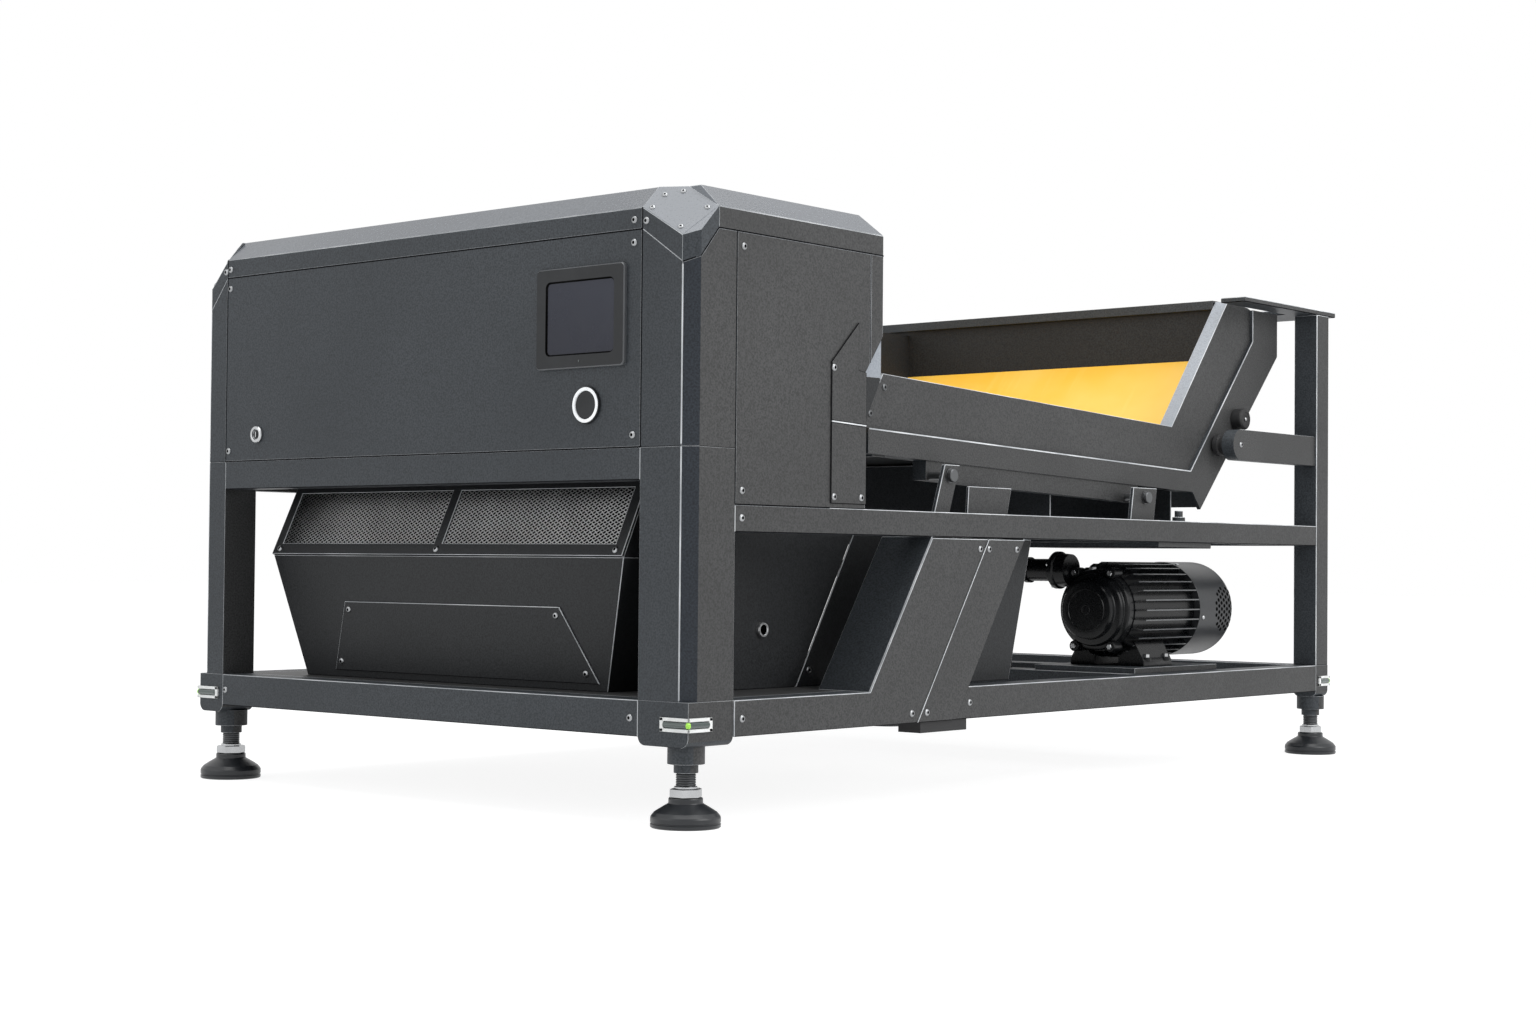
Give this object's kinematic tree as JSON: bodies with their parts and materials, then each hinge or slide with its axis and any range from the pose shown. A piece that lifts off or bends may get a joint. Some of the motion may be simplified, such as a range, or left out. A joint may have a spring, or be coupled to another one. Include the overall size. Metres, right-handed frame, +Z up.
{
  "type": "optical colour sorter",
  "caption": "Chute-type optical colour sorter: framed control cabin with touch screen, screened discharge box, slanted side braces and a shaken yellow-lined infeed trough with a geared motor.",
  "frame": {"origin": "centre of the overall box, on the floor under the foot pads", "axes": "+X to the side with the wide front post and the motor, +Y from the control panel to the infeed end, +Z up"},
  "size_m": [1.41, 2.338, 1.092],
  "materials": {
    "charcoal": "fine-texture powder coat",
    "grey": "fine-texture powder coat",
    "pad_black": "black steel foot with a plated stud",
    "level_white": "moulded white",
    "rubber": "matt black",
    "steel": "brushed stainless",
    "mesh": "expanded mesh",
    "chrome": "plated button heads",
    "liner_yellow": "wear lining",
    "bezel_black": "satin black",
    "screen": "dark gloss",
    "motor_black": "black paint on cast aluminium",
    "cowl_grey": "satin grey",
    "rotor_steel": "laminated core and cast fan",
    "camera_black": "anodised black"
  },
  "bodies": {
    "frame": {"foot_blocks": "charcoal", "front_posts": "charcoal", "rear_posts": "charcoal", "bottom_rails": "charcoal", "mid_rails": "charcoal", "brace_columns": "charcoal", "front_panel": "charcoal", "fascias": "charcoal", "corner_caps": "charcoal", "roof_cover": "charcoal", "cabin_rear_panel": "charcoal", "pivot_rails": "charcoal", "rear_shelf": "charcoal", "trough_brackets": "charcoal", "drive_mounts": "charcoal", "grille_frame": "charcoal", "access_cover": "charcoal", "base_plate": "grey", "brace_plates": "grey", "lower_side_panels": "grey", "discharge_hopper": "grey", "discharge_hood": "grey", "cabin_side_panels": "grey", "side_shields": "grey", "control_box": "grey", "spirit_levels": "level_white", "button_ring": "level_white", "light_bars": "level_white", "centre_pads": "rubber", "support_buffers": "rubber", "air_inlet": "steel", "ejector_bar": "steel", "air_manifold": "steel", "feed_chute": "steel", "grille_mesh": "mesh", "panel_screws": "chrome", "screen_bezel": "bezel_black", "screen_glass": "screen", "motor_body": "motor_black", "motor_shield": "motor_black", "gear_tube": "motor_black", "motor_cowl": "cowl_grey", "cameras": "camera_black"},
    "trough": {"trough_walls": "grey", "trough_beams": "charcoal", "trough_pan": "grey", "trough_liner": "liner_yellow", "trough_divider": "grey", "trough_bushes": "rubber", "trough_bolts": "steel", "drive_rods": "charcoal"},
    "crank": {"crank_shaft": "steel"},
    "rotor": {"rotor_fan": "rotor_steel"},
    "button": {"start_button": "bezel_black"},
    "key": {"key_switch": "steel"},
    "flap": {"splitter": "steel"},
    "foot_fr": {"foot_front_right": "pad_black"},
    "foot_fl": {"foot_front_left": "pad_black"},
    "foot_rr": {"foot_rear_right": "pad_black"},
    "foot_rl": {"foot_rear_left": "pad_black"}
  },
  "joints": [
    {"name": "trough_shake", "type": "slide", "parent": "frame", "child": "trough", "axis": [0, 1, 0], "range_m": [-0.003, 0.003], "stiffness_N_per_m": 100000},
    {"name": "crank_spin", "type": "hinge", "parent": "frame", "child": "crank", "pos_m": [0, 0.376, 0.437], "axis": [1, 0, 0], "continuous": true},
    {"name": "motor_spin", "type": "hinge", "parent": "frame", "child": "rotor", "pos_m": [0.49, 0.546, 0.35], "axis": [0, 1, 0], "continuous": true},
    {"name": "start_press", "type": "slide", "parent": "frame", "child": "button", "axis": [0, 1, 0], "range_m": [0, 0.004], "stiffness_N_per_m": 1200, "springref_m": -0.001},
    {"name": "key_turn", "type": "hinge", "parent": "frame", "child": "key", "pos_m": [-0.496, -1.154, 0.695], "axis": [0, 1, 0], "range_deg": [0, 90]},
    {"name": "splitter_tilt", "type": "hinge", "parent": "frame", "child": "flap", "pos_m": [0, -0.919, 0.3], "axis": [1, 0, 0], "range_deg": [-12, 12]},
    {"name": "foot_fr_level", "type": "slide", "parent": "frame", "child": "foot_fr", "axis": [0, 0, 1], "range_m": [-0.03, 0]},
    {"name": "foot_fl_level", "type": "slide", "parent": "frame", "child": "foot_fl", "axis": [0, 0, 1], "range_m": [-0.03, 0]},
    {"name": "foot_rr_level", "type": "slide", "parent": "frame", "child": "foot_rr", "axis": [0, 0, 1], "range_m": [-0.03, 0]},
    {"name": "foot_rl_level", "type": "slide", "parent": "frame", "child": "foot_rl", "axis": [0, 0, 1], "range_m": [-0.03, 0]}
  ],
  "couplings": [
    {"joint": "motor_spin", "follows": "crank_spin", "ratio": 10}
  ]
}
